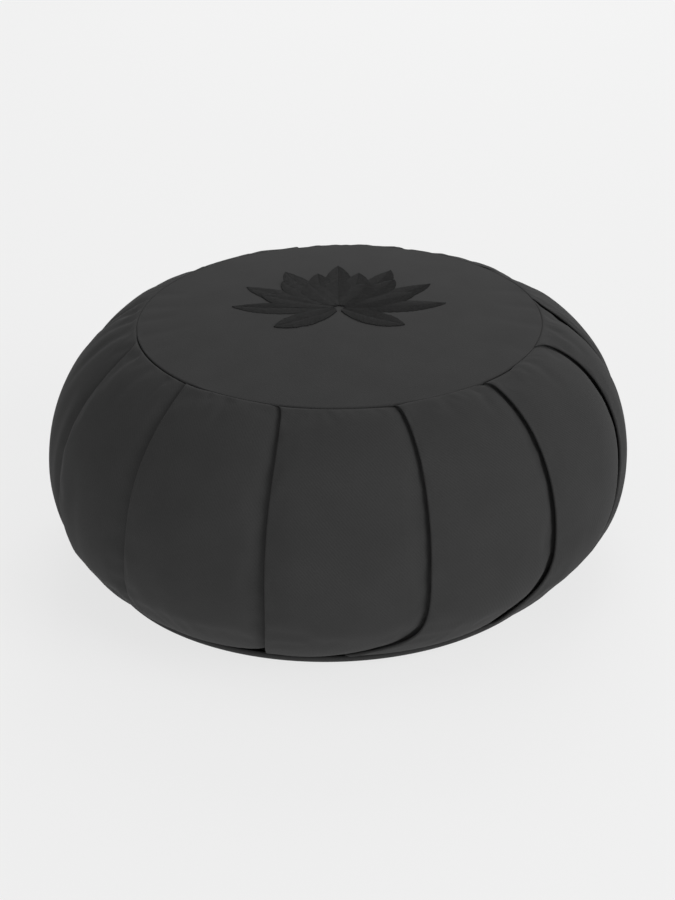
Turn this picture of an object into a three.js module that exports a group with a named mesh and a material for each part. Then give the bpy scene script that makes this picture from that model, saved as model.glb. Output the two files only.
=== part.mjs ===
// A pleated zafu, the round floor cushion that people sit on to meditate. Its filled body is held by a
// side band laid in twelve knife pleats. A crowned round panel is sewn to the band's upper edge, and a
// flat one to its lower. Millimetres, +Z up. The origin is on the floor under the middle of the cushion,
// and -Y is its front.
import * as THREE from "three";

// The whole cushion
const BELLY_RADIUS = 177.2; // at the widest part, before the pleats puff the cloth out
const BELLY_HEIGHT = 67;
const TOP_SEAM_RADIUS = 124;
const TOP_SEAM_HEIGHT = 158.5;
const BASE_SEAM_RADIUS = 143;
const BASE_SEAM_HEIGHT = 6.5;

// The filling has slumped a little: each seam's centre is this far along X from the belly's
const TOP_SHIFT = 2.5;
const BASE_SHIFT = -4.5;

// The round panels
const PANEL_CLOTH = 2; // the cloth with the loft just behind it
const TOP_PANEL_RADIUS = TOP_SEAM_RADIUS - 1; // it ends just inside the band's upper edge
const TOP_CROWN = 9.5; // how far the filling pushes the middle of the top panel up
const FLAT_RADIUS = 132; // of the base panel, where it lies on the floor
const GAP = 0.3; // between two pieces that are sewn together

// The base panel turns up at its edge to meet the band. These are points in from the base seam and up
// from the floor: on the panel's inner face, on its outer face, and on the filled body that lies in it.
const TURN_UP_INSIDE = [
  { inward: 4.5, up: 3.2 },
  { inward: 1.8, up: 5.9 },
];
const TURN_UP_OUTSIDE = [
  { inward: -0.2, up: 5.9 },
  { inward: 0.2, up: 3.6 },
  { inward: 3.5, up: 1.2 },
];
const BODY_FOOT = [
  { inward: 2.5, up: 6.2 },
  { inward: 5, up: 3.8 },
];

// The side band between its seams: each arc is a superellipse about a centre at its own radius
const SHOULDER = { centre: 48, squareness: 2.26, end: TOP_SEAM_RADIUS, rise: TOP_SEAM_HEIGHT - BELLY_HEIGHT };
const SKIRT = { centre: 62, squareness: 2.03, end: BASE_SEAM_RADIUS, rise: BASE_SEAM_HEIGHT - BELLY_HEIGHT };
const BELLY_AT = 0.56; // the belly's place down the band, from 0 at the top seam to 1 at the base seam

// The pleats. Each fold lies on the cloth to its left, and all of them face that way.
const LIP = 2.2; // a fold's top face above the plain surface
const LIP_CLOTH = 1.9; // the two layers of cloth in a fold
const DIP = 2.6; // how far the cloth dives below the plain surface, to go under the next fold
const PUFF = 2.3; // how far the filling swells the cloth between two folds
const NOSE = 1; // how far the rounded nose of a fold stands out past its faces
const SLACK_AT_SEAMS = 0.14; // the share of all these that is left where the band is sewn down

// One row for each fold, round from the left of the front. Its azimuth, in degrees from -Y towards +X,
// is given at the top seam, at the belly and at the base seam, and it swings from the second to the
// third on the stretch that begins at swings. A larger rush makes the swing start slower and end faster.
// The cloth runs under the fold by tuck. open is how far the fold gapes, as a share of the room between
// the lip and the cloth under it.
const FOLDS = [
  { top: -79, belly: -72, base: -71, swings: 0.5, rush: 1.6, tuck: 9, open: 0.7 },
  { top: -46, belly: -44.5, base: -48, swings: 0.4, rush: 1.6, tuck: 10, open: 0.7 },
  { top: -16.5, belly: -14, base: -15.5, swings: 0.5, rush: 1.6, tuck: 9, open: 0.9 },
  { top: 14.3, belly: 17, base: 2.5, swings: 0.5, rush: 3.5, tuck: 9, open: 1 },
  { top: 42, belly: 45.5, base: 39, swings: 0.4, rush: 3, tuck: 9, open: 1 },
  { top: 69.5, belly: 78, base: 62, swings: 0.38, rush: 1.6, tuck: 10, open: 1 },
  { top: 104, belly: 95.5, base: 92, swings: 0.4, rush: 1.6, tuck: 10, open: 0.9 },
  { top: 133, belly: 128, base: 124, swings: 0.5, rush: 1.6, tuck: 9, open: 0.8 },
  { top: 161, belly: 160, base: 153, swings: 0.5, rush: 1.6, tuck: 9, open: 0.9 },
  { top: 192, belly: 191, base: 186, swings: 0.5, rush: 1.6, tuck: 10, open: 0.8 },
  { top: 222, belly: 223, base: 217, swings: 0.5, rush: 1.6, tuck: 9, open: 0.9 },
  { top: 251, belly: 255, base: 252, swings: 0.5, rush: 1.6, tuck: 9, open: 0.8 },
];
const TOP_DRIFT_ENDS = 0.3; // down the band, where a fold has left its azimuth at the top seam
const SWING_LENGTH = 0.4;

// How finely the faces follow the cloth
const BAND_ROWS = 22;
const BETWEEN_FOLDS = [0.025, 0.12, 0.28, 0.48, 0.68, 0.85, 0.94, 1]; // shares of the way to the next fold
const UNDER_CROWN = [0.45, 0.8, 1]; // shares of the top panel's radius
const CROWN_RINGS = [0.3, 0.58, 0.82, 0.95, 1];
const PANEL_SIDES = 84;

// A superellipse arc from the belly (share 0) to its seam (share 1), as a radius and a height.
function arc({ centre, squareness, end, rise }, share) {
  const reach = BELLY_RADIUS - centre;
  const height = Math.sin((share * Math.PI) / 2);
  const fullRise = (1 - ((end - centre) / reach) ** squareness) ** (1 / squareness);
  const radius = centre + reach * (1 - (height * fullRise) ** squareness) ** (1 / squareness);
  return new THREE.Vector2(radius, BELLY_HEIGHT + rise * height);
}

// The plain surface of the band, down from its top seam (0) to its base seam (1).
function bandProfile(down) {
  return down < BELLY_AT
    ? arc(SHOULDER, 1 - down / BELLY_AT)
    : arc(SKIRT, (down - BELLY_AT) / (1 - BELLY_AT));
}

// The direction out of the band, square to its profile.
function bandNormal(down) {
  const step = 0.002;
  const above = bandProfile(Math.max(down - step, 0));
  const below = bandProfile(Math.min(down + step, 1));
  const along = below.sub(above);
  return new THREE.Vector2(-along.y, along.x).normalize();
}

// The slump: how far the middle of the cushion lies along X at a height.
function slump(height) {
  const rise = height - BELLY_HEIGHT;
  return rise > 0
    ? TOP_SHIFT * (rise / (TOP_SEAM_HEIGHT - BELLY_HEIGHT))
    : BASE_SHIFT * (rise / (BASE_SEAM_HEIGHT - BELLY_HEIGHT)) ** 2;
}

// A point at an azimuth in radians, a radius and a height.
function place(azimuth, radius, height) {
  return new THREE.Vector3(
    radius * Math.sin(azimuth) + slump(height),
    -radius * Math.cos(azimuth),
    height,
  );
}

function circle(sides, radius, height) {
  return Array.from({ length: sides }, (_, i) => place((i * 2 * Math.PI) / sides, radius, height));
}

function foldAzimuth(fold, down) {
  const nearTop = Math.max(0, 1 - down / TOP_DRIFT_ENDS) ** 2;
  const swung = THREE.MathUtils.clamp((down - fold.swings) / SWING_LENGTH, 0, 1);
  const nearBase = THREE.MathUtils.smoothstep(swung ** fold.rush, 0, 1);
  const degrees =
    fold.belly + (fold.top - fold.belly) * nearTop + (fold.base - fold.belly) * nearBase;
  return THREE.MathUtils.degToRad(degrees);
}

// The cloth between two folds: raised where it leaves its own, swollen in the middle, and diving under
// the next.
function clothHeight(share) {
  return LIP * (1 - share) ** 2 + PUFF * Math.sin(Math.PI * share) - DIP * share ** 8;
}

// One fold as the cloth passes it, as distances past the fold's edge and heights over the plain surface:
// in along the floor of its pocket, back along the lip's underside, and round its nose.
function foldSection({ tuck, open }) {
  const floor = -DIP;
  const ceiling = floor + (LIP - LIP_CLOTH - floor) * open;
  return [
    { past: tuck * 0.55, over: floor },
    { past: tuck, over: (floor + ceiling) / 2 },
    { past: tuck * 0.55, over: ceiling },
    { past: NOSE, over: ceiling },
    { past: 0, over: (ceiling + LIP) / 2 },
  ];
}

// How fully the pleats stand out on the way down the band.
function fullness(down) {
  return SLACK_AT_SEAMS + (1 - SLACK_AT_SEAMS) * Math.sin(Math.PI * down) ** 0.6;
}

// One closed section round the band. Every section has the same number of points, in the same order.
function bandSection(down) {
  const plain = bandProfile(down);
  const normal = bandNormal(down);
  const full = fullness(down);
  const point = (azimuth, over) =>
    place(azimuth, plain.x + over * full * normal.x, plain.y + over * full * normal.y);
  return FOLDS.flatMap((fold, i) => {
    const next = FOLDS[(i + 1) % FOLDS.length];
    const from = foldAzimuth(fold, down);
    const to = foldAzimuth(next, down) + (i + 1 === FOLDS.length ? 2 * Math.PI : 0);
    const edge = foldSection(fold).map(({ past, over }) => point(from + (past * full) / plain.x, over));
    const cloth = BETWEEN_FOLDS.map((share) => point(from + (to - from) * share, clothHeight(share)));
    return [...edge, ...cloth];
  });
}

// A plain ring with as many points as a section of the band, spread evenly.
function bandRing(radius, height) {
  const count = FOLDS.length * (foldSection(FOLDS[0]).length + BETWEEN_FOLDS.length);
  const start = THREE.MathUtils.degToRad(FOLDS[0].top);
  return Array.from({ length: count }, (_, i) =>
    place(start + (i * 2 * Math.PI) / count, radius, height),
  );
}

// A closed solid through rings of points that run from a middle point on top, over the outside, to one
// underneath.
function loft(topPoint, rings, bottomPoint) {
  const count = rings[0].length;
  const points = [topPoint, ...rings.flat(), bottomPoint];
  const at = (ring, i) => 1 + ring * count + (i % count);
  const faces = [];
  for (let i = 0; i < count; i++) {
    faces.push(0, at(0, i), at(0, i + 1));
    for (let ring = 0; ring + 1 < rings.length; ring++) {
      faces.push(at(ring, i), at(ring + 1, i), at(ring + 1, i + 1));
      faces.push(at(ring, i), at(ring + 1, i + 1), at(ring, i + 1));
    }
    faces.push(points.length - 1, at(rings.length - 1, i + 1), at(rings.length - 1, i));
  }
  const geometry = new THREE.BufferGeometry().setFromPoints(points);
  geometry.setIndex(faces);
  geometry.computeVertexNormals();
  return geometry;
}

// The top panel's upper face, over a radius.
function crownHeight(radius) {
  return TOP_SEAM_HEIGHT + TOP_CROWN * (1 - (radius / TOP_PANEL_RADIUS) ** 2);
}

function middle(height) {
  return place(0, 0, height);
}

// The filled body inside its pleated band. Its top and bottom follow the panels' inner faces.
function bandGeometry() {
  const underCrown = (radius) => crownHeight(radius) - PANEL_CLOTH - GAP;
  const upper = UNDER_CROWN.map((share) => {
    const radius = TOP_PANEL_RADIUS * share;
    return bandRing(radius + 2 * GAP * share, underCrown(radius));
  });
  const sections = Array.from({ length: BAND_ROWS }, (_, i) => bandSection(i / (BAND_ROWS - 1)));
  const foot = BODY_FOOT.map(({ inward, up }) => bandRing(BASE_SEAM_RADIUS - inward, up));
  const floor = bandRing(FLAT_RADIUS - PANEL_CLOTH, PANEL_CLOTH + GAP);
  return loft(
    middle(underCrown(0)),
    [...upper, ...sections, ...foot, floor],
    middle(PANEL_CLOTH + GAP),
  );
}

// A crowned round of cloth, sewn down all round its edge.
function topPanelGeometry() {
  const face = (drop) =>
    CROWN_RINGS.map((share) => {
      const radius = TOP_PANEL_RADIUS * share;
      return circle(PANEL_SIDES, radius, crownHeight(radius) - drop);
    });
  return loft(
    middle(crownHeight(0)),
    [...face(0), ...face(PANEL_CLOTH).reverse()],
    middle(crownHeight(0) - PANEL_CLOTH),
  );
}

// A round of cloth that lies flat on the floor and turns up at its edge, to the base seam.
function basePanelGeometry() {
  const turnUp = ({ inward, up }) => circle(PANEL_SIDES, BASE_SEAM_RADIUS - inward, up);
  const upperFace = circle(PANEL_SIDES, FLAT_RADIUS - PANEL_CLOTH, PANEL_CLOTH);
  const underside = circle(PANEL_SIDES, FLAT_RADIUS, 0);
  return loft(
    middle(PANEL_CLOTH),
    [upperFace, ...TURN_UP_INSIDE.map(turnUp), ...TURN_UP_OUTSIDE.map(turnUp), underside],
    middle(0),
  );
}

const twill = new THREE.MeshStandardMaterial({ color: 0x3b3b3b, roughness: 0.9, metalness: 0 });

function piece(name, geometry) {
  const mesh = new THREE.Mesh(geometry, twill.clone());
  mesh.name = name;
  return mesh;
}

const zafu = new THREE.Group();
zafu.name = "zafu";
zafu.add(
  piece("pleated_side_band", bandGeometry()),
  piece("top_panel", topPanelGeometry()),
  piece("base_panel", basePanelGeometry()),
);

export default zafu;
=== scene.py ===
# %% [markdown]
# # A pleated zafu
# A zafu is the round, firm cushion that people sit on to meditate. A maker cuts three pieces of cloth: a
# long strip that is laid in knife pleats for the side, and a round for the top and for the base. Here
# they are charcoal cotton twill, and the top round carries a lotus in dark satin stitch. The solids of
# the cushion are packed already, and this script dresses them: each piece below stands where its solid
# stands.

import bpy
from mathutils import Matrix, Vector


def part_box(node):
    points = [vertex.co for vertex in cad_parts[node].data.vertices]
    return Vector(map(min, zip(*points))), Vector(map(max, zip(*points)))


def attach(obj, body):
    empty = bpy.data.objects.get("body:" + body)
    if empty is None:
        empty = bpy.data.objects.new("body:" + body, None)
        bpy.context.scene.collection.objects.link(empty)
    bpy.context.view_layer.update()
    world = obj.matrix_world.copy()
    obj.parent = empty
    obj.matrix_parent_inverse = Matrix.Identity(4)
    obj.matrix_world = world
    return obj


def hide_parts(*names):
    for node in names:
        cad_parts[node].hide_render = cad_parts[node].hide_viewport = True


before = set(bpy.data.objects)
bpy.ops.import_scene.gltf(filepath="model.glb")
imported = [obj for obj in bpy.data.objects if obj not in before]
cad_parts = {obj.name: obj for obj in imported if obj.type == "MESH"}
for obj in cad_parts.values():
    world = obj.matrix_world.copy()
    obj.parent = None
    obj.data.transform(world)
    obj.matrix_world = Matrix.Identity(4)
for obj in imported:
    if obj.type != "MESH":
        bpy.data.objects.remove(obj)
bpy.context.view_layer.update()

import math

import bpy
import numpy as np
from mathutils import Matrix, Vector

scene = bpy.context.scene
MM = 0.001

# %% [markdown]
# ## The camera first
# A product photograph of a low object is usually taken with a long lens from a little above it, because a
# short lens would swell the front of the cushion. The camera stands 1.6 m away and looks down by 26
# degrees, and it is turned in the hand by about a degree. It is made from the direction that it looks in,
# so that each of these numbers stays one that a photographer would know.

# %% Place the camera
CAMERA_DISTANCE = 1.6
CAMERA_DOWN = math.radians(26.43)
CAMERA_ROLL = math.radians(-0.98)
CAMERA_LOOKS_AT = Vector((0.0001, 0, 0.0704))
LENS_MM = 102.18

camera_data = bpy.data.cameras.new("camera")
camera_data.lens = LENS_MM
camera_data.sensor_width = 36
camera = bpy.data.objects.new("camera", camera_data)
turn = Matrix.Rotation(math.pi / 2 - CAMERA_DOWN, 4, "X") @ Matrix.Rotation(CAMERA_ROLL, 4, "Z")
away = turn @ Vector((0, 0, 1))
camera.matrix_world = Matrix.Translation(CAMERA_LOOKS_AT + away * CAMERA_DISTANCE) @ turn
scene.collection.objects.link(camera)
scene.camera = camera
print("the camera stands at", [round(x, 3) for x in camera.matrix_world.translation])

# %% [markdown]
# ## Sizes
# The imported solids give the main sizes: how wide each round is, and how high the seams lie. What they
# don't give is how cloth behaves, such as how thick a fold is, so those sizes are named here.

# %% Read the sizes of the cushion
band_low, band_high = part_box("pleated_side_band")
top_low, top_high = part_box("top_panel")
base_low, base_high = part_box("base_panel")

# The top panel's solid ends 1 mm inside its seam. The base panel's reaches 0.2 mm past its own seam and
# ends 0.6 mm under it.
CLOTH = 2.0 * MM  # a panel with the loft just behind it
TOP_SEAM_RADIUS = (top_high[0] - top_low[0]) / 2 + 1 * MM
TOP_SEAM_HEIGHT = top_low[2] + CLOTH
TOP_CROWN = top_high[2] - TOP_SEAM_HEIGHT
TOP_SHIFT = (top_high[0] + top_low[0]) / 2
BASE_SEAM_RADIUS = (base_high[0] - base_low[0]) / 2 - 0.2 * MM
BASE_SEAM_HEIGHT = base_high[2] + 0.6 * MM
BASE_SHIFT = (base_high[0] + base_low[0]) / 2
PUFF = 2.3 * MM  # how far the filling swells the cloth between two folds
SWELL = 1.3 * MM  # how much further the filling pushes it out, when it is simulated
BELLY_RADIUS = (band_high[1] - band_low[1]) / 2 - PUFF - SWELL
BELLY_HEIGHT = 67 * MM
print("seams across, in millimetres:", round(2 * TOP_SEAM_RADIUS / MM), round(2 * BASE_SEAM_RADIUS / MM))

# %% [markdown]
# ## The side's outline
# Filled cloth bulges in a smooth curve that is flatter at the belly and tighter at the shoulder. A
# superellipse draws such a curve with two numbers, so the side is one arc from the belly up to the top
# seam and another down to the base seam. A place on it is called `down`: 0 at the top seam and 1 at the
# base seam.

# %% Draw the side's outline
BELLY_AT = 0.56
FINE_STEPS = 2000  # in measuring how far down the cloth a place lies
SHOULDER = {"centre": 48 * MM, "squareness": 2.26, "radius": TOP_SEAM_RADIUS, "height": TOP_SEAM_HEIGHT}
SKIRT = {"centre": 62 * MM, "squareness": 2.03, "radius": BASE_SEAM_RADIUS, "height": BASE_SEAM_HEIGHT}


def arc(share, centre, squareness, radius, height):
    """Radii and heights on an arc from the belly, at share 0, to a seam, at share 1."""
    reach = BELLY_RADIUS - centre
    whole = (1 - ((radius - centre) / reach) ** squareness) ** (1 / squareness)
    rise = np.sin(share * np.pi / 2)
    out = centre + reach * (1 - (rise * whole) ** squareness) ** (1 / squareness)
    return out, BELLY_HEIGHT + (height - BELLY_HEIGHT) * rise


def outline(down):
    """Radii and heights of the plain side at an array of places down it."""
    upper = arc(np.clip(1 - down / BELLY_AT, 0, 1), **SHOULDER)
    lower = arc(np.clip((down - BELLY_AT) / (1 - BELLY_AT), 0, 1), **SKIRT)
    return tuple(np.where(down < BELLY_AT, up, low) for up, low in zip(upper, lower))


def facing(down):
    """The directions out of the side there, as radial and upward parts."""
    step = 0.002
    above, below = outline(np.clip(down - step, 0, 1)), outline(np.clip(down + step, 0, 1))
    along = np.array(below) - np.array(above)
    return np.array([-along[1], along[0]]) / np.hypot(*along)


def slump(height):
    """How far the filling has slumped along X at a height: the top one way and the base the other."""
    up = (height - BELLY_HEIGHT) / (TOP_SEAM_HEIGHT - BELLY_HEIGHT)
    under = (height - BELLY_HEIGHT) / (BASE_SEAM_HEIGHT - BELLY_HEIGHT)
    return np.where(height > BELLY_HEIGHT, TOP_SHIFT * up, BASE_SHIFT * under**2)


def places_down(rows):
    """Places down the side, closer together near the seams, and how far down the cloth each of them lies."""
    fine = np.linspace(0, 1, FINE_STEPS)
    radius, height = outline(fine)
    walked = np.concatenate([[0], np.cumsum(np.hypot(np.diff(radius), np.diff(height)))])
    even = np.linspace(0, 1, rows)
    wanted = (even + (1 - np.cos(np.pi * even)) / 2) / 2 * walked[-1]
    return np.interp(wanted, walked, fine), wanted


BAND_ROWS = 34
rows_down, rows_walked = places_down(BAND_ROWS)
print("cloth from seam to seam, in millimetres:", round(rows_walked[-1] / MM))

# %% [markdown]
# ## Knife pleats
# A knife pleat takes up cloth by folding it over itself, and every fold on this cushion faces the same
# way. Seen in a section round the cushion, the cloth dives under the next fold, runs into a shallow
# pocket, turns back, rounds the nose of the fold and then covers the next stretch. That section can't be
# drawn as a height over the surface, because the cloth passes the same place three times. So each column
# of the mesh gets two distances: how far it lies past the fold's edge, and how far over the plain side.

# %% Lay the pleats
# Azimuths are in degrees from -Y towards +X: at the top seam, at the belly and at the base seam. A fold
# starts its swing to the last one at swings, and a larger rush makes the swing start slower and end
# faster, as where the cloth is drawn under the cushion. The cloth runs under the fold by tuck, and open
# is how far the fold gapes. stands is the share of its relief that is left at the top seam.
FOLD_NAMES = ("top", "belly", "base", "swings", "rush", "tuck", "open", "stands")
FOLD_ROWS = (
    (-79, -72, -71, 0.5, 1.6, 9, 0.7, 0.15),
    (-46, -44.5, -48, 0.4, 1.6, 10, 0.7, 0.25),
    (-16.5, -14, -15.5, 0.5, 1.6, 9, 0.9, 0.35),
    (14.3, 17, 2.5, 0.5, 3.5, 9, 1, 0.35),
    (42, 45.5, 39, 0.4, 3, 9, 1, 0.35),
    (69.5, 78, 62, 0.38, 1.6, 10, 1, 0.15),
    (104, 95.5, 92, 0.4, 1.6, 10, 0.9, 0.1),
    (133, 128, 124, 0.5, 1.6, 9, 0.8, 0.05),
    (161, 160, 153, 0.5, 1.6, 9, 0.9, 0.05),
    (192, 191, 186, 0.5, 1.6, 10, 0.8, 0.05),
    (222, 223, 217, 0.5, 1.6, 9, 0.9, 0.05),
    (251, 255, 252, 0.5, 1.6, 9, 0.8, 0.08),
)
FOLDS = [dict(zip(FOLD_NAMES, row)) for row in FOLD_ROWS]
TOP_DRIFT_ENDS = 0.3  # how far down the side a fold reaches its azimuth at the belly
SWING_LENGTH = 0.4  # the share of the side that a swing takes

LIP = 2.2 * MM  # a fold's top face above the plain side
LIP_CLOTH = 1.9 * MM  # the two layers of cloth in a fold
DIP = 2.6 * MM  # how far the cloth dives to go under the next fold
STANDS_AT_BASE = 0.5  # the share of a pleat's relief that is left at the base seam
POCKET_STEPS = np.array([0.15, 0.4, 0.65, 0.88])  # the pocket's columns, as shares of the tuck
NOSE_ANGLES = np.radians([-90, -50, -10, 30, 65])
CLOTH_COLUMNS = 31  # across the cloth between two folds


def smooth(x):
    """A step from 0 to 1 with soft ends."""
    x = np.clip(x, 0, 1)
    return x * x * (3 - 2 * x)


def fold_azimuth(fold, down):
    near_top = np.maximum(0, 1 - down / TOP_DRIFT_ENDS) ** 2
    near_base = smooth(np.clip((down - fold["swings"]) / SWING_LENGTH, 0, 1) ** fold["rush"])
    degrees = fold["belly"] + (fold["top"] - fold["belly"]) * near_top
    return np.radians(degrees + (fold["base"] - fold["belly"]) * near_base)


def relief(fold, down):
    """How fully a pleat stands out at each place down the side. One that is sewn down flat rises slowly."""
    left = fold["stands"] + (STANDS_AT_BASE - fold["stands"]) * down
    return left + (1 - left) * np.sin(np.pi * np.clip(down, 0, 1)) ** (1.1 - 2 * fold["stands"])


def fold_section(tuck, gape):
    """The cloth in a fold's pocket and round its nose: distances past the fold's edge and over the side."""
    floor = -DIP
    ceiling = floor + (LIP - LIP_CLOTH - floor) * gape
    middle = (floor + ceiling) / 2
    inward, outward = POCKET_STEPS, POCKET_STEPS[::-1]
    nose = (LIP - ceiling) / 2
    past = [inward * tuck, [tuck], outward * tuck, nose - nose * np.cos(NOSE_ANGLES)]
    over = [
        floor + (middle - floor) * 0.85 * inward**2,
        [middle],
        ceiling - (ceiling - middle) * 0.85 * outward**2,
        (ceiling + LIP) / 2 + nose * np.sin(NOSE_ANGLES),
    ]
    return np.concatenate(past), np.concatenate(over)


def cloth_over(share):
    """The cloth between two folds: raised at its own fold, swollen, and diving under the next."""
    return LIP * (1 - share) ** 4 + PUFF * np.sin(np.pi * share) - DIP * share**18


# The columns crowd a little towards both folds, where the cloth turns fastest
CLOTH_STARTS = 0.022  # the first column past the nose, as a share of the way to the next fold
even_shares = np.linspace(0, 1, CLOTH_COLUMNS)
crowded_shares = (even_shares + (1 - np.cos(np.pi * even_shares)) / 2) / 2
cloth_shares = CLOTH_STARTS + (1 - CLOTH_STARTS) * crowded_shares
print("columns in a pleat:", len(fold_section(9 * MM, 1)[0]) + CLOTH_COLUMNS)

# %% [markdown]
# ## Puckers and gaping seams
# A seam never draws cloth down evenly. Where a little too much cloth is sewn in, it puckers in short soft
# troughs that run out of the seam, and where the seam pulls, the two edges part and show a dark groove. A
# simulation makes such things anywhere, and its pressure blows out any that the mesh starts with. So these
# few are placed one by one, each as a row of sizes, and they are pressed in after the cushion is filled.

# %% Place the puckers and the gapes
# A pucker's azimuth in degrees, how far down the cloth it starts and ends, its depth and its half width,
# in mm
PUCKER_NAMES = ("azimuth", "start", "end", "depth", "half_width")
PUCKER_ROWS = (
    (-101, 0, 60, 1.5, 4.2),
    (-94, 0, 40, 1.2, 3.6),
    (-87, 0, 65, 1.6, 4.2),
    (-70, 0, 36, 1, 3.8),
    (-61, 0, 44, 1, 3.6),
    (-53, 0, 34, 1.9, 3),
    (-36, 0, 18, 1, 3.2),
    (-30.5, 0, 26, 1.7, 3),
    (-6, 0, 16, 0.5, 4),
    (28, 0, 22, 0.9, 3.4),
    (38, 0, 28, 1.3, 3.2),
    (61, 0, 36, 1.1, 3.8),
    (83, 0, 42, 0.9, 4),
    (118, 6, 44, 0.8, 4.5),
    (147, 10, 50, 0.6, 4.5),
    (176, 12, 44, 0.5, 4.5),
    (208, 10, 50, 0.6, 4.5),
    (236, 6, 44, 0.8, 4.5),
    (-80, 45, 150, 1, 8),
    (-62, 75, 182, 0.8, 8),
    (-54, 150, 190, 1.1, 4),
    (-38, 110, 190, 0.6, 7),
    (55, 100, 190, 0.7, 8),
    (52, 150, 190, 1, 4),
    (140, 90, 185, 0.8, 9),
    (202, 85, 185, 0.9, 9),
)
PUCKERS = [dict(zip(PUCKER_NAMES, row)) for row in PUCKER_ROWS]

# A gape's middle and half length in degrees, and how far the band's edge parts from the panel in mm
GAPE_NAMES = ("middle", "half_length", "parts")
TOP_GAPE_ROWS = ((-60, 21, 0.6), (0, 17, 0.75), (47, 7, 0.8), (150, 30, 0.3))
TOP_GAPES = [dict(zip(GAPE_NAMES, row)) for row in TOP_GAPE_ROWS]
BASE_GAPE_ROWS = ((-20, 27, 5), (24, 17, 3.6), (90, 40, 0.5), (205, 60, 0.6))
BASE_GAPES = [dict(zip(GAPE_NAMES, row)) for row in BASE_GAPE_ROWS]
LEAST_GAPE = 0.05 * MM
TOP_GAPE_REACH = 0.035  # how far from its seam, as a share of the side, a gape still moves the cloth
BASE_GAPE_REACH = 0.06
GAPE_LEAN = 0.7  # an edge also moves away from its seam in height, by this share of how far it parts


def turn_between(azimuth, degrees):
    """The turn in radians from an azimuth in degrees to those in an array, from -pi to pi."""
    return (azimuth - math.radians(degrees) + np.pi) % (2 * np.pi) - np.pi


def pucker_depth(azimuth, walked, radius):
    """How deep the puckers press the cloth in at each point, walked metres down it from the top seam."""
    depth = 0 * azimuth
    for pucker in PUCKERS:
        aside = turn_between(azimuth, pucker["azimuth"]) * radius / (pucker["half_width"] * MM)
        share = (walked / MM - pucker["start"]) / (pucker["end"] - pucker["start"])
        # It deepens over the first tenth of its length and fades out over the last seven
        fade = smooth(share / 0.1) * smooth((1 - share) / 0.7)
        depth = depth + pucker["depth"] * MM * np.exp(-(aside**2)) * fade
    return depth


def gape(azimuth, gapes):
    """How far the seam gapes at each azimuth. Each stretch has soft ends."""
    width = LEAST_GAPE + 0 * azimuth
    for stretch in gapes:
        aside = np.abs(turn_between(azimuth, stretch["middle"])) / math.radians(stretch["half_length"])
        width = width + stretch["parts"] * MM * smooth((1.15 - aside) / 0.3)
    return width


print("puckers:", len(PUCKERS), " stretches of seam that gape:", len(TOP_GAPES) + len(BASE_GAPES))

# %% [markdown]
# ## The side band as a grid
# The columns of every pleat, row by row, make a grid that closes on itself. Each point also keeps a place
# on the cloth as a UV map: metres along from the middle of its own pleat, and down from the top seam. The
# twill is drawn by it, so the weave stays the same size where the pleats crowd together, as it does on
# real cloth. The pins say which points sewing and folding hold still.

# %% Work out the grid of the side band
WEAVE_STEP = 137 * MM  # how much further along the cloth each pleat's weave is taken from
PRESSED_SHARE = 0.03  # the share of the cloth between two folds that pressing holds, beside each of them
PRESSED_PIN = 0.8  # how firmly, where 1 doesn't move at all


def place(azimuth, radius, height):
    return np.stack(
        [radius * np.sin(azimuth) + slump(height), -radius * np.cos(azimuth), height + 0 * azimuth], -1
    )


def band_grid(down, walked):
    """Points, puckers, places on the flat cloth and pins, a row for each place down the band."""
    plain_radius, plain_height = (x[:, None] for x in outline(down))
    out, up = (x[:, None] for x in facing(down))
    walked = walked[:, None]
    near_top = np.exp(-((down / TOP_GAPE_REACH) ** 2))[:, None]
    near_base = np.exp(-(((1 - down) / BASE_GAPE_REACH) ** 2))[:, None]
    points, pressed, flat, pins = [], [], [], []
    for number, fold in enumerate(FOLDS):
        following = FOLDS[(number + 1) % len(FOLDS)]
        start = fold_azimuth(fold, down)[:, None]
        end = fold_azimuth(following, down)[:, None] + (2 * np.pi if following is FOLDS[0] else 0)
        full, full_next = relief(fold, down)[:, None], relief(following, down)[:, None]
        past, over = fold_section(fold["tuck"] * MM, fold["open"])
        azimuth = np.hstack([start + past * full / plain_radius, start + (end - start) * cloth_shares])
        stands = np.hstack([full + 0 * past, full + (full_next - full) * cloth_shares])
        over = np.concatenate([over, cloth_over(cloth_shares)])[None, :] * stands
        depth = pucker_depth(azimuth, walked, plain_radius)
        inward = [-out * np.sin(azimuth), out * np.cos(azimuth), -up + 0 * azimuth]
        pressed.append(np.stack(inward, -1) * depth[..., None])
        parts = gape(azimuth, TOP_GAPES) * near_top - gape(azimuth, BASE_GAPES) * near_base
        height = plain_height + over * up - GAPE_LEAN * parts
        points.append(place(azimuth, plain_radius + over * out + parts, height))
        along = (azimuth - (start + end) / 2) * plain_radius + number * WEAVE_STEP
        flat.append(np.stack([along, walked + 0 * along], -1))
        beside_fold = np.abs(cloth_shares - 0.5) > 0.5 - PRESSED_SHARE
        pins.append(np.concatenate([np.ones(len(past)), beside_fold * PRESSED_PIN]))
    return [np.concatenate(x, 1) for x in (points, pressed, flat)] + [np.concatenate(pins)]


band_points, band_pressed, band_flat, band_pins = band_grid(rows_down, rows_walked)
print("the side band's grid:", band_points.shape[:2])

# %% [markdown]
# ## From a grid to a closed mesh
# The band holds the filling, so its mesh is a closed body. At each seam the cloth turns inwards into the
# seam allowance, which leaves the fine dark groove that shows a seam. From there the grid is closed under
# the panel. A fan of triangles would meet in one point with hundreds of edges, which is slow to subdivide
# and shades badly. So the last ring is combed shut instead: each point is joined to the one across from
# it, in rows of quads.


# %% Close the grid and make the mesh
ACROSS = 4  # quads in each row that combs an end shut
SEWN_GAP = 0.3 * MM  # between two pieces that are sewn together


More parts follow.
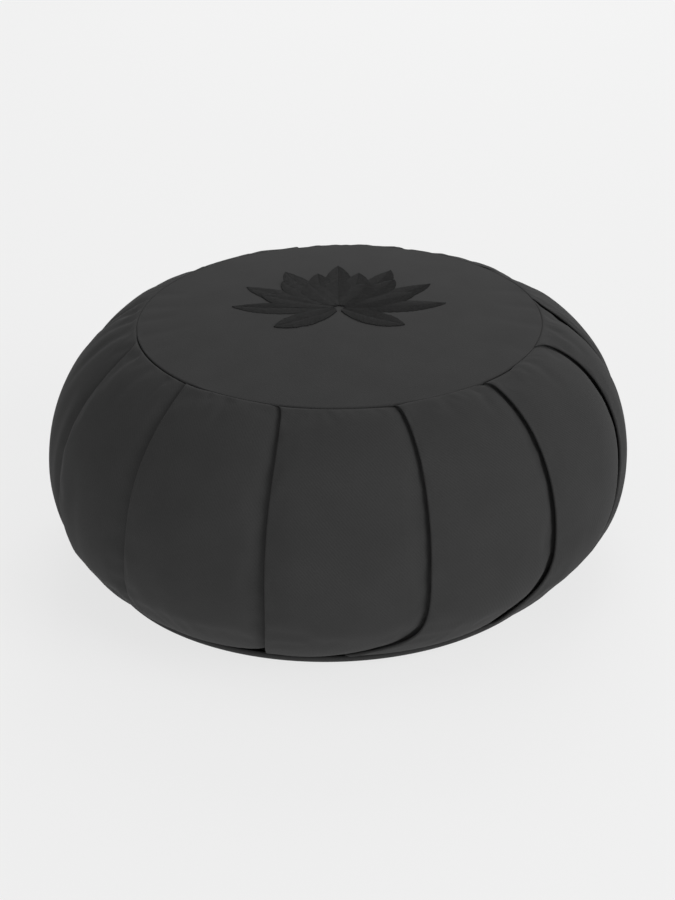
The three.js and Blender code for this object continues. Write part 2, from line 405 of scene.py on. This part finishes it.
def comb_shut(ring, first_index, bulge):
    """Points that close a ring in rows, its middle bulged upwards, and their indices."""
    half = len(ring) // 2
    near, far = ring[:half], ring[half:][::-1]
    share = np.linspace(0, 1, ACROSS + 1)[None, 1:-1, None]
    inner = near[:, None] * (1 - share) + far[:, None] * share
    reach = np.linalg.norm(ring[:, :2] - ring[:, :2].mean(0), axis=1).max()
    away = np.linalg.norm(inner[..., :2] - ring[:, :2].mean(0), axis=-1)
    inner[1:-1, :, 2] += bulge * (1 - (away[1:-1] / reach) ** 2)
    index = first_index + np.arange(inner[..., 0].size).reshape(half, ACROSS - 1)
    return inner.reshape(-1, 3), index


def mesh_from_grid(name, grid, flat, bulges):
    """A closed object from a grid that closes on itself round. Its two ends are combed shut, with bulges."""
    rows, columns = grid.shape[:2]
    index = np.arange(rows * columns).reshape(rows, columns)
    lines = [index, np.roll(index, -1, 1)]
    faces = [np.stack([lines[0][:-1], lines[0][1:], lines[1][1:], lines[1][:-1]], -1).reshape(-1, 4)]
    points, places = [grid.reshape(-1, 3)], [flat.reshape(-1, 2)]
    for row, bulge in zip((0, -1), bulges):
        inner, inner_index = comb_shut(grid[row], sum(map(len, points)), bulge)
        half = columns // 2
        net = np.column_stack([index[row][:half], inner_index, index[row][half:][::-1]])
        quads = np.stack([net[:-1, :-1], net[1:, :-1], net[1:, 1:], net[:-1, 1:]], -1).reshape(-1, 4)
        faces.append(quads if row == 0 else quads[:, ::-1])
        points.append(inner)
        places.append(inner[:, :2])
    mesh = bpy.data.meshes.new(name)
    mesh.from_pydata(np.vstack(points).tolist(), [], np.vstack(faces).tolist())
    corners = np.zeros(len(mesh.loops), int)
    mesh.loops.foreach_get("vertex_index", corners)
    mesh.uv_layers.new(name="cloth").data.foreach_set("uv", np.vstack(places)[corners].ravel())
    for polygon in mesh.polygons:
        polygon.use_smooth = True
    made = bpy.data.objects.new(name, mesh)
    scene.collection.objects.link(made)
    return made


def inwards(ring, inward, lift, shift):
    """A ring moved towards the cushion's axis and up."""
    centre = np.array([shift, 0])
    away = ring[:, :2] - centre
    length = np.linalg.norm(away, axis=1, keepdims=True)
    return np.column_stack([centre + away * (1 - inward / length), ring[:, 2] + lift])


def even_ring(ring, radius, height, shift):
    """A plain ring with the columns of another one."""
    azimuth = np.unwrap(np.arctan2(ring[:, 0] - shift, -ring[:, 1]))
    azimuth = azimuth[0] + np.arange(len(ring)) * 2 * np.pi / len(ring)
    return np.stack(
        [radius * np.sin(azimuth) + shift, -radius * np.cos(azimuth), np.full(len(ring), height)], -1
    )


first, last = band_points[0], band_points[-1]
under_top = TOP_SEAM_HEIGHT - CLOTH
over_base = SEWN_GAP + CLOTH
top_rings = [
    even_ring(first, 0.95 * TOP_SEAM_RADIUS, under_top - 2 * MM, TOP_SHIFT),
    inwards(first, 2.2 * MM, -4.2 * MM, TOP_SHIFT),
    inwards(first, 1.5 * MM, -2.4 * MM, TOP_SHIFT),
    inwards(first, 0.7 * MM, -0.8 * MM, TOP_SHIFT),
]
base_rings = [
    inwards(last, 3 * MM, -0.2 * MM, BASE_SHIFT),
    inwards(last, 5 * MM, -1.5 * MM, BASE_SHIFT),
    inwards(last, 7 * MM, -3.2 * MM, BASE_SHIFT),
    even_ring(last, 0.9 * BASE_SEAM_RADIUS, over_base, BASE_SHIFT),
]
whole_grid = np.stack([*top_rings, *band_points, *base_rings])
turned_in, turned_under = len(top_rings), len(base_rings)
whole_flat = np.concatenate([band_flat[:1]] * turned_in + [band_flat] + [band_flat[-1:]] * turned_under)
side_band = mesh_from_grid("side_band", whole_grid, whole_flat, bulges=(TOP_CROWN, 0))
print("the side band has", len(side_band.data.vertices), "points before it is filled")

# %% [markdown]
# ## Filling it
# Blender's cloth simulation fills the cushion: pressure from inside pushes the cloth out, while the seams
# and the folds, which are sewn or pressed, stay pinned. The cloth also grows by a trace, because a real
# strip is a little longer than the line that it is sewn to, and that spare length is what makes it
# ripple. A cap on how far a point may move keeps the cushion to its size.

# %% Fill the side band
FILL_FRAMES = 18
MOST_MOVE = 2.6 * MM
HELD_NEAR_TOP = 0.08  # how far from each seam, as a share of the side, sewing still holds the cloth
HELD_NEAR_BASE = 0.3


def pins_for(rows, columns):
    """A pin for each point: sewn at the seams, pressed at the folds, and free between them."""
    near_top = np.clip(1.2 - rows_down / HELD_NEAR_TOP, 0, 1)
    near_base = np.clip(1.2 - (1 - rows_down) / HELD_NEAR_BASE, 0, 1)
    sewn = np.maximum(near_top, near_base)[:, None]
    body = np.maximum(sewn, band_pins[None, :])
    ends = [np.ones((count, columns)) for count in (turned_in, turned_under)]
    sides = np.concatenate([ends[0], body, ends[1]]).ravel()
    return np.concatenate([sides, np.ones(len(side_band.data.vertices) - len(sides))])


def fill_with_pressure(piece, pins, pressure, growth):
    """Runs the cloth simulation on a piece and returns where its points end up."""
    held = piece.vertex_groups.new(name="held")
    for weight in np.unique(pins.round(2)):
        if weight > 0:
            held.add(np.flatnonzero(pins.round(2) == weight).tolist(), float(weight), "REPLACE")
    cloth = piece.modifiers.new("filling", "CLOTH")
    settings = cloth.settings
    settings.quality = 5
    settings.mass = 0.3
    settings.air_damping = 2
    settings.tension_stiffness = settings.compression_stiffness = 30
    settings.shear_stiffness = 8
    settings.bending_stiffness = 1.5
    settings.use_pressure = True
    settings.uniform_pressure_force = pressure
    settings.shrink_min = -growth
    settings.vertex_group_mass = "held"
    settings.effector_weights.gravity = 0
    for number in range(1, FILL_FRAMES + 1):
        scene.frame_set(number)
    posed = piece.evaluated_get(bpy.context.evaluated_depsgraph_get()).to_mesh()
    after = np.zeros(len(posed.vertices) * 3)
    posed.vertices.foreach_get("co", after)
    piece.modifiers.remove(cloth)
    piece.vertex_groups.clear()
    scene.frame_set(1)
    return after.reshape(-1, 3)


def points_of(piece):
    found = np.zeros(len(piece.data.vertices) * 3)
    piece.data.vertices.foreach_get("co", found)
    return found.reshape(-1, 3)


def move_to(piece, points):
    piece.data.vertices.foreach_set("co", points.ravel())
    piece.data.update()


def capped(move, most):
    """Moves that bend softly towards a limit."""
    length = np.linalg.norm(move, axis=1, keepdims=True)
    return move * np.tanh(length / most) * most / np.maximum(length, 1e-9)


before = points_of(side_band)
filled = fill_with_pressure(side_band, pins_for(*whole_grid.shape[:2]), pressure=6, growth=0.02)
move_to(side_band, before + capped(filled - before, MOST_MOVE))
moved = np.linalg.norm(points_of(side_band) - before, axis=1)
puckered = points_of(side_band)
in_the_band = turned_in * whole_grid.shape[1] + np.arange(band_pressed.size // 3)
puckered[in_the_band] += band_pressed.reshape(-1, 3)
move_to(side_band, puckered)
print("the filling moved the cloth by", round(moved.max() / MM, 2), "mm at most")
print("and on average by", round(moved.mean() / MM, 2))

# %% [markdown]
# ## The top panel
# The top is a round of cloth drawn down to the seam all round, so the filling pushes it up into a low
# crown. It is made as a thin closed shell. Its edge rolls over into the seam, against the rolled edge of
# the band.

# %% Make the top panel
PANEL_COLUMNS = 240
FACE_RINGS = 34
PANEL_EDGE = TOP_SEAM_RADIUS - 0.4 * MM
ROLL = 1 * MM  # the radius of its rolled edge

# A wrinkle's azimuth in degrees, the radius where it fades out, its depth and its half width, in mm. Each
# runs in from the seam, where the cloth is drawn down a little harder.
WRINKLE_NAMES = ("azimuth", "fades_at", "depth", "half_width")
WRINKLE_ROWS = (
    (-112, 96, 0.45, 4),
    (-101, 84, 0.5, 5),
    (-92, 90, 0.55, 4.5),
    (-81, 82, 0.5, 5),
    (-70, 98, 0.35, 5),
    (-40, 104, 0.3, 5),
    (24, 106, 0.3, 6),
    (66, 100, 0.35, 5),
    (84, 88, 0.45, 5),
    (97, 94, 0.5, 4.5),
    (110, 88, 0.4, 5),
    (160, 100, 0.15, 7),
    (204, 98, 0.15, 7),
)
WRINKLES = [dict(zip(WRINKLE_NAMES, row)) for row in WRINKLE_ROWS]


def crown(radius):
    """Heights of the top panel's upper face."""
    return TOP_SEAM_HEIGHT + TOP_CROWN * (1 - (radius / TOP_SEAM_RADIUS) ** 2)


def wrinkled(grid, rows):
    """A grid whose first rows are pressed in along the wrinkles."""
    x, y = grid[:rows, :, 0] - TOP_SHIFT, grid[:rows, :, 1]
    radius, azimuth = np.hypot(x, y), np.arctan2(x, -y)
    for wrinkle in WRINKLES:
        aside = turn_between(azimuth, wrinkle["azimuth"]) * radius / (wrinkle["half_width"] * MM)
        fades_at = wrinkle["fades_at"] * MM
        near_seam = smooth((radius - fades_at) / (PANEL_EDGE - 6 * MM - fades_at))
        grid[:rows, :, 2] -= wrinkle["depth"] * MM * np.exp(-(aside**2)) * near_seam
    return grid


def round_grid(radii, heights, shift, columns):
    azimuth = np.linspace(0, 2 * np.pi, columns, endpoint=False)[None, :]
    radius, height = (np.asarray(x)[:, None] for x in (radii, heights))
    x = radius * np.sin(azimuth) + shift
    return np.stack([x, -radius * np.cos(azimuth), height + 0 * x], -1)


face = np.linspace(4 * MM, PANEL_EDGE - ROLL, FACE_RINGS)
roll_angles = np.radians([25, 50, 75, 95])
roll_radii = PANEL_EDGE - ROLL + ROLL * np.sin(roll_angles)
roll_heights = crown(PANEL_EDGE - ROLL) - ROLL + ROLL * np.cos(roll_angles)
tuck_radii = [PANEL_EDGE - 0.5 * MM, PANEL_EDGE - 2.2 * MM]
tuck_heights = [roll_heights[-1] - 1.5 * MM, roll_heights[-1] - 1.6 * MM]
under = face[::-3]  # the lower face is hidden, so a third of the rings will do
panel_radii = np.concatenate([face, roll_radii, tuck_radii, under])
panel_heights = np.concatenate([crown(face), roll_heights, tuck_heights, crown(under) - CLOTH])
panel_grid = wrinkled(round_grid(panel_radii, panel_heights, TOP_SHIFT, PANEL_COLUMNS), len(face))
top_panel = mesh_from_grid("top_panel_cloth", panel_grid, panel_grid[..., :2], bulges=(0, 0))
print("the top panel is", round(2 * PANEL_EDGE / MM), "mm across and crowns by", round(TOP_CROWN / MM, 1))

# %% [markdown]
# ## The base panel
# The base lies flat on the floor and turns up at its edge to meet the band. Only that turned edge shows
# from above, as a narrow strip under the front folds.

# %% Make the base panel
base_radii = np.concatenate(
    [np.linspace(20, 120, 6) * MM, BASE_SEAM_RADIUS - np.array([10, 6, 3.2, 1.6]) * MM]
)
base_heights = np.array([2, 2, 2, 2, 2, 2, 2, 2.3, 3.9, 5.6]) * MM
edge_radii = BASE_SEAM_RADIUS + np.array([-0.8, 0.2, 0.8, 0.9, 0, -2.2, -5.5, -11]) * MM
edge_heights = np.array([6.1, 6, 5.2, 4, 2.3, 0.9, 0.2, 0]) * MM
floor_radii = np.linspace(125, 20, 6) * MM
base_grid = round_grid(
    np.concatenate([base_radii, edge_radii, floor_radii]),
    np.concatenate([base_heights, edge_heights, 0 * floor_radii]),
    BASE_SHIFT,
    PANEL_COLUMNS,
)
base_panel = mesh_from_grid("base_panel_cloth", base_grid, base_grid[..., :2], bulges=(0, 0))
print("the base panel is", round(2 * edge_radii.max() / MM), "mm across")

# %% [markdown]
# ## Adding nodes to a material
# A material is a small graph. One helper adds a node, sets it and links it, so that each material below
# reads as a list of what it is made of. Colours are written as the hex values that a paint program shows,
# and one function turns them into the linear values that light is added up in.


# %% Helpers for materials
def colour(code):
    """Linear red, green, blue and alpha of an sRGB hex colour."""
    parts = [int(code[i : i + 2], 16) / 255 for i in (1, 3, 5)]
    return tuple(c / 12.92 if c <= 0.04045 else ((c + 0.055) / 1.055) ** 2.4 for c in parts) + (1,)


def add(tree, kind, settings=None, **links):
    """Adds a node. Settings are its properties, and links are values or outputs for its inputs.

    An input is named as it reads, with _ for a space, or i0, i1 and so on where names repeat.
    """
    node = tree.nodes.new(kind)
    for key, value in (settings or {}).items():
        setattr(node, key, value)
    for key, value in links.items():
        numbered = key[0] == "i" and key[1:].isdigit()
        socket = node.inputs[int(key[1:]) if numbered else key.replace("_", " ")]
        if isinstance(value, bpy.types.NodeSocket):
            tree.links.new(value, socket)
        else:
            socket.default_value = value
    return node


def new_material(name):
    material = bpy.data.materials.new(name)
    material.use_nodes = True
    material.node_tree.nodes.clear()
    return material, material.node_tree


# %% [markdown]
# ## Cotton twill
# Twill is woven so that each thread steps one over from the row before, which draws fine diagonal ribs.
# Piece-dyed charcoal cotton is matte, with a soft light edge where fibres stand off the cloth and catch
# light from behind, which a little sheen gives. Real ribs are about 0.9 mm apart. They are drawn 1.5 mm
# apart, so that they still show at this distance.

# %% Weave the twill
RIB_SPACING = 1.5 * MM
RIB_ANGLE = math.radians(40)
WAVES_PER_UNIT = 1 / 3.18  # Blender's wave texture then draws one band for each unit of its vector
RIB_CONTRAST = 0.32
RIB_HEIGHT = 0.25 * MM
THREAD_CLUMP = 1.2 * MM  # spun cotton thickens and thins over about this length
DYE_MOTTLE = 30 * MM  # the dye takes a little unevenly over patches of about this size
TINT_GAIN = 1.4  # brings the patterns' product back to about a half
CHARCOAL = colour("#3c3c3c")
CHARCOAL_DEEP = colour("#343434")


def cotton_twill(name, tone, deep):
    material, tree = new_material(name)
    cloth = add(tree, "ShaderNodeUVMap", {"uv_map": "cloth"}).outputs[0]
    turned = add(
        tree,
        "ShaderNodeMapping",
        Vector=cloth,
        Rotation=(0, 0, RIB_ANGLE),
        Scale=(1 / RIB_SPACING,) * 3,
    )
    ribs = add(
        tree,
        "ShaderNodeTexWave",
        {"wave_type": "BANDS", "bands_direction": "X", "wave_profile": "SIN"},
        Vector=turned.outputs[0],
        Scale=WAVES_PER_UNIT,
        Distortion=1.6,
        Detail=2,
        Detail_Scale=1.2,
    )
    threads = add(tree, "ShaderNodeTexNoise", Vector=cloth, Scale=1 / THREAD_CLUMP, Detail=3)
    mottle = add(tree, "ShaderNodeTexNoise", Vector=cloth, Scale=1 / DYE_MOTTLE, Detail=3)
    faint_ribs = add(
        tree, "ShaderNodeMath", {"operation": "MULTIPLY"}, i0=ribs.outputs["Fac"], i1=RIB_CONTRAST
    )
    weave = add(
        tree, "ShaderNodeMath", {"operation": "ADD"}, i0=threads.outputs[0], i1=faint_ribs.outputs[0]
    )
    mixed = add(tree, "ShaderNodeMath", {"operation": "MULTIPLY"}, i0=weave.outputs[0], i1=mottle.outputs[0])
    tint = add(tree, "ShaderNodeMath", {"operation": "MULTIPLY"}, i0=mixed.outputs[0], i1=TINT_GAIN)
    shade = add(tree, "ShaderNodeMix", {"data_type": "RGBA"}, i0=tint.outputs[0], i6=deep, i7=tone)
    bump = add(tree, "ShaderNodeBump", Height=weave.outputs[0], Strength=0.3, Distance=RIB_HEIGHT)
    surface = add(
        tree,
        "ShaderNodeBsdfPrincipled",
        Base_Color=shade.outputs[2],
        Roughness=0.9,
        Normal=bump.outputs[0],
        Sheen_Weight=0.03,
        Sheen_Roughness=0.5,
        Specular_IOR_Level=0.1,
    )
    tree.links.new(surface.outputs[0], add(tree, "ShaderNodeOutputMaterial").inputs[0])
    return material


twill = cotton_twill("charcoal cotton twill, pleated", CHARCOAL, CHARCOAL_DEEP)
for piece in (side_band, top_panel, base_panel):
    piece.data.materials.append(twill)
print("twill ribs to the centimetre:", round(10 * MM / RIB_SPACING, 1))

# %% [markdown]
# ## The lotus in satin stitch
# Machine embroidery fills a petal with satin stitch: threads laid side by side from the petal's midrib
# out to its edge, slanting towards the tip. So a petal needs only its midrib and its half width along the
# way. Both fit in one curve, whose points carry a radius. Geometry Nodes then walk along the midrib, lay
# a stitch to either side at each step, and drop the stitches on the cloth by casting a ray down to it.
# Changing a petal is one number.

# %% Draw the petals
# The flower is the plain lotus of temple ornament: fans of petals about one foot, each fan smaller than
# the one behind it, and a pair of leaves that hang below. A row is one fan: how many petals, how far it
# spreads to each side in degrees, the length of a middle and of an outer petal and the half width in mm,
# and its stitched layer.
FAN_NAMES = ("petals", "spread", "middle_length", "outer_length", "half_width", "layer")
FAN_ROWS = (
    (7, 81, 74, 66, 8.5, 0),
    (6, 62, 60, 54, 8.5, 1),
    (3, 25, 47, 42, 9.5, 2),
    (2, 122, 46, 46, 9, 1),
)
FANS = [dict(zip(FAN_NAMES, row)) for row in FAN_ROWS]
LOTUS_FOOT = (0, -2)  # in mm, from the middle of the top
PETAL_POINTS = 15
PETAL_BOW = 0.05  # a petal's midrib bows outwards by this share of its length
BARE_FOOT = 0.06  # the share of a petal at its foot that is left unstitched
NARROWEST = 0.2  # the half width at a petal's tip, in mm
LAYER = 0.22 * MM  # how much higher each stitched layer lies than the one under it


def petal_line(angle, length, half_width, layer):
    """The midrib's points and half widths, laid out flat in metres. The angle is from the flower's own up."""
    share = np.linspace(BARE_FOOT, 1, PETAL_POINTS)
    run = np.array([math.sin(angle), math.cos(angle)])
    side = np.array([run[1], -run[0]]) * np.sign(angle)
    bow = 4 * share * (1 - share) * PETAL_BOW * length
    line = np.array(LOTUS_FOOT) + length * share[:, None] * run + bow[:, None] * side
    width = half_width * np.sin(np.pi * share**0.85) ** 0.8
    heights = np.full(PETAL_POINTS, layer * LAYER / MM)
    return np.column_stack([line, heights]) * MM, np.maximum(width, NARROWEST) * MM


def fan_of_petals(fan):
    """The midribs of one fan. A petal is shorter the further it leans from the middle."""
    for turn in np.linspace(-1, 1, fan["petals"]):
        length = fan["middle_length"] + (fan["outer_length"] - fan["middle_length"]) * turn**2
        yield petal_line(math.radians(turn * fan["spread"]), length, fan["half_width"], fan["layer"])


midribs = bpy.data.curves.new("lotus midribs", "CURVE")
midribs.dimensions = "3D"
petals = [petal for fan in FANS for petal in fan_of_petals(fan)]
for line, widths in petals:
    spline = midribs.splines.new("POLY")
    spline.points.add(PETAL_POINTS - 1)
    for point, (x, y, z), width in zip(spline.points, line, widths):
        point.co = (x + TOP_SHIFT, y, z, 1)
        point.radius = width
lotus_curves = bpy.data.objects.new("lotus_midribs", midribs)
scene.collection.objects.link(lotus_curves)
print("petals:", len(petals))

# %% [markdown]
# ## Embroidery thread
# The thread is taken to be polyester, which is usual for machine embroidery. Such thread often gleams, but
# here it looks darker than the twill and hardly gleams, so its roughness is high. Real thread lies about
# 0.4 mm apart. It is drawn 0.75 mm apart, so that it shows.

# %% Spin the thread
THREAD_SPACING = 0.75 * MM
THREAD_RADIUS = 0.4 * MM
THREAD_SHADING = 2.5 * MM  # the thread's tone varies over about this length
STITCH_RISE = 0.45 * MM  # a stitch arches by half of this
STITCH_SLANT = math.radians(35)
print("stitches to the centimetre of midrib, on each side:", round(10 * MM / THREAD_SPACING, 1))


def embroidery_thread():
    material, tree = new_material("black polyester embroidery thread")
    here = add(tree, "ShaderNodeTexCoord").outputs["Object"]
    uneven = add(tree, "ShaderNodeTexNoise", Vector=here, Scale=1 / THREAD_SHADING, Detail=2)
    shade = add(
        tree,
        "ShaderNodeMix",
        {"data_type": "RGBA"},
        i0=uneven.outputs[0],
        i6=colour("#202020"),
        i7=colour("#303030"),
    )
    surface = add(
        tree,
        "ShaderNodeBsdfPrincipled",
        Base_Color=shade.outputs[2],
        Roughness=0.75,
        Specular_IOR_Level=0.08,
    )
    tree.links.new(surface.outputs[0], add(tree, "ShaderNodeOutputMaterial").inputs[0])
    return material


# %% [markdown]
# ## A node tree that sews
# The tree has named inputs for the thread's spacing, thickness and slant, so the same tree would sew any
# flat motif of midribs. It ends by realizing the instances, because an export keeps only real geometry.


# %% Sew the petals
STITCH_SIZES = {
    "Thread Spacing": THREAD_SPACING,
    "Thread Radius": THREAD_RADIUS,
    "Stitch Rise": STITCH_RISE,
    "Slant": STITCH_SLANT,
}


def satin_stitch_tree(thread_material, ground):
    tree = bpy.data.node_groups.new("satin stitch", "GeometryNodeTree")
    tree.interface.new_socket("Midribs", in_out="INPUT", socket_type="NodeSocketGeometry")
    for name in STITCH_SIZES:
        tree.interface.new_socket(name, in_out="INPUT", socket_type="NodeSocketFloat")
    tree.interface.new_socket("Stitches", in_out="OUTPUT", socket_type="NodeSocketGeometry")
    given = add(tree, "NodeGroupInput").outputs
    steps = add(
        tree,
        "GeometryNodeResampleCurve",
        {"mode": "LENGTH"},
        Curve=given["Midribs"],
        Length=given["Thread Spacing"],
    )
    peak = add(tree, "ShaderNodeCombineXYZ", Y=0.5, Z=given["Stitch Rise"])
    arch = add(
        tree,
        "GeometryNodeCurveQuadraticBezier",
        Resolution=4,
        Start=(0, 0, 0),
        Middle=peak.outputs[0],
        End=(0, 1, 0),
    )
    round_thread = add(
        tree, "GeometryNodeCurvePrimitiveCircle", Resolution=5, Radius=given["Thread Radius"]
    )
    bare_stitch = add(
        tree,
        "GeometryNodeCurveToMesh",
        Curve=arch.outputs[0],
        Profile_Curve=round_thread.outputs[0],
        Fill_Caps=True,
    )
    stitch = add(tree, "GeometryNodeSetShadeSmooth", Geometry=bare_stitch.outputs[0])
    along = add(tree, "GeometryNodeInputTangent").outputs[0]
    forward = add(tree, "FunctionNodeAlignRotationToVector", {"axis": "Y"}, Vector=along)
    slanting = add(tree, "ShaderNodeMath", {"operation": "COSINE"}, i0=given["Slant"])
    radius = add(tree, "GeometryNodeInputRadius").outputs[0]
    reach = add(tree, "ShaderNodeMath", {"operation": "DIVIDE"}, i0=radius, i1=slanting.outputs[0])
    uneven = add(tree, "FunctionNodeRandomValue", {"data_type": "FLOAT"}, i2=0.94, i3=1.03, Seed=4)
    length = add(tree, "ShaderNodeMath", {"operation": "MULTIPLY"}, i0=reach.outputs[0], i1=uneven.outputs[1])
    scale = add(tree, "ShaderNodeCombineXYZ", X=1, Y=length.outputs[0], Z=1)
    both = add(tree, "GeometryNodeJoinGeometry")
    for side in (1, -1):
        off_midrib = add(
            tree,
            "ShaderNodeMath",
            {"operation": "MULTIPLY_ADD"},
            i0=given["Slant"],
            i1=-side,
            i2=side * math.pi / 2,
        )
        swing = add(tree, "ShaderNodeCombineXYZ", Z=off_midrib.outputs[0])
        turned = add(
            tree,
            "FunctionNodeRotateRotation",
            {"rotation_space": "LOCAL"},
            Rotation=forward.outputs[0],
            Rotate_By=swing.outputs[0],
        )
        laid = add(
            tree,
            "GeometryNodeInstanceOnPoints",
            Points=steps.outputs[0],
            Instance=stitch.outputs[0],
            Rotation=turned.outputs[0],
            Scale=scale.outputs[0],
        )
        tree.links.new(laid.outputs[0], both.inputs[0])
    sewn = add(tree, "GeometryNodeRealizeInstances", Geometry=both.outputs[0])
    panel = add(tree, "GeometryNodeObjectInfo", {"transform_space": "ORIGINAL"}, Object=ground)
    spot = add(tree, "ShaderNodeSeparateXYZ", Vector=add(tree, "GeometryNodeInputPosition").outputs[0])
    above = add(tree, "ShaderNodeCombineXYZ", X=spot.outputs[0], Y=spot.outputs[1], Z=1)
    ray = add(
        tree,
        "GeometryNodeRaycast",
        Target_Geometry=panel.outputs["Geometry"],
        Source_Position=above.outputs[0],
        Ray_Direction=(0, 0, -1),
        Ray_Length=2,
    )
    landed = add(tree, "ShaderNodeSeparateXYZ", Vector=ray.outputs["Hit Position"])
    lift = add(tree, "ShaderNodeCombineXYZ", Z=landed.outputs[2])
    on_cloth = add(tree, "GeometryNodeSetPosition", Geometry=sewn.outputs[0], Offset=lift.outputs[0])
    finished = add(tree, "GeometryNodeSetMaterial", Geometry=on_cloth.outputs[0], Material=thread_material)
    tree.links.new(finished.outputs[0], add(tree, "NodeGroupOutput").inputs[0])
    return tree


thread_material = embroidery_thread()
sewing = lotus_curves.modifiers.new("sewing", "NODES")
sewing_tree = satin_stitch_tree(thread_material, top_panel)
sewing.node_group = sewing_tree
for name, size in STITCH_SIZES.items():
    sewing[sewing_tree.interface.items_tree[name].identifier] = size
stitched = bpy.data.meshes.new_from_object(
    lotus_curves.evaluated_get(bpy.context.evaluated_depsgraph_get())
)
lotus = bpy.data.objects.new("lotus_embroidery", stitched)
scene.collection.objects.link(lotus)
bpy.data.objects.remove(lotus_curves)
print("the lotus has", len(stitched.polygons), "faces")

# %% [markdown]
# ## The floor and the light
# The cushion stands on a pale sweep that glows a little, so its shadow is faint and the paper stays even.
# Dark cloth shows its shape only by how light falls off over it. So the light from all round is weak, and
# four wide softboxes do the work: the strongest from the right, one from behind that lifts the top, one
# overhead, and a fill from the left. Their sizes keep every shadow soft.

# %% Set the stage
floor_mesh = bpy.data.meshes.new("floor")
HALF_FLOOR = 6  # metres
floor_corners = [(x * HALF_FLOOR, y * HALF_FLOOR, 0) for x, y in ((-1, -1), (1, -1), (1, 1), (-1, 1))]
floor_mesh.from_pydata(floor_corners, [], [(0, 1, 2, 3)])
floor = bpy.data.objects.new("floor", floor_mesh)
scene.collection.objects.link(floor)
PAPER_GLOW = 0.82  # how far the paper glows by itself instead of being lit
paper, paper_tree = new_material("pale paper sweep")
matte = add(paper_tree, "ShaderNodeBsdfDiffuse", Color=colour("#f0f0f0"))
glow = add(paper_tree, "ShaderNodeEmission", Color=colour("#f4f4f4"), Strength=1)
both = add(paper_tree, "ShaderNodeMixShader", i0=PAPER_GLOW, i1=matte.outputs[0], i2=glow.outputs[0])
paper_tree.links.new(both.outputs[0], add(paper_tree, "ShaderNodeOutputMaterial").inputs[0])
floor_mesh.materials.append(paper)

ROOM_LIGHT = 0.24
world = bpy.data.worlds.new("studio")
scene.world = world
world.use_nodes = True
world.node_tree.nodes["Background"].inputs[0].default_value = colour("#ffffff")
world.node_tree.nodes["Background"].inputs[1].default_value = ROOM_LIGHT

scene.view_settings.view_transform = "Standard"


def softbox(name, size, power, position, target):
    light = bpy.data.lights.new(name, "AREA")
    light.size = size
    light.energy = power
    lamp = bpy.data.objects.new(name, light)
    lamp.location = position
    lamp.rotation_euler = (Vector(target) - Vector(position)).to_track_quat("-Z", "Y").to_euler()
    scene.collection.objects.link(lamp)


# A softbox's name, its width in metres, its power in watts, where it hangs and what it faces
SOFTBOX_ROWS = (
    ("right softbox", 1.4, 24.8, (1.6, -1.2, 1.1), (0, 0, 0.08)),
    ("back softbox", 1.4, 18.1, (0.3, 1.7, 1.3), (0, 0, 0.12)),
    ("left softbox", 1.4, 8.6, (-1.2, -1.8, 0.9), (0, 0, 0.08)),
    ("overhead softbox", 1.6, 6.8, (0.2, 0.1, 2.2), (0, 0, 0.1)),
)
for row in SOFTBOX_ROWS:
    softbox(*row)
print("softboxes, in watts:", [row[2] for row in SOFTBOX_ROWS])

# %% [markdown]
# ## Hanging the pieces on the body
# Each piece is smoothed once, rides on the cushion's one body and stands for its solid, which is hidden.

# %% Smooth each piece, hang it on the body and hide its solid
for piece, node, finish in (
    (side_band, "pleated_side_band", "cotton_twill_band"),
    (top_panel, "top_panel", "cotton_twill_top"),
    (base_panel, "base_panel", "cotton_twill_base"),
):
    smoother = piece.modifiers.new("smoother", "SUBSURF")
    smoother.levels = smoother.render_levels = 1
    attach(piece, "root")
    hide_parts(node)

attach(lotus, "root")
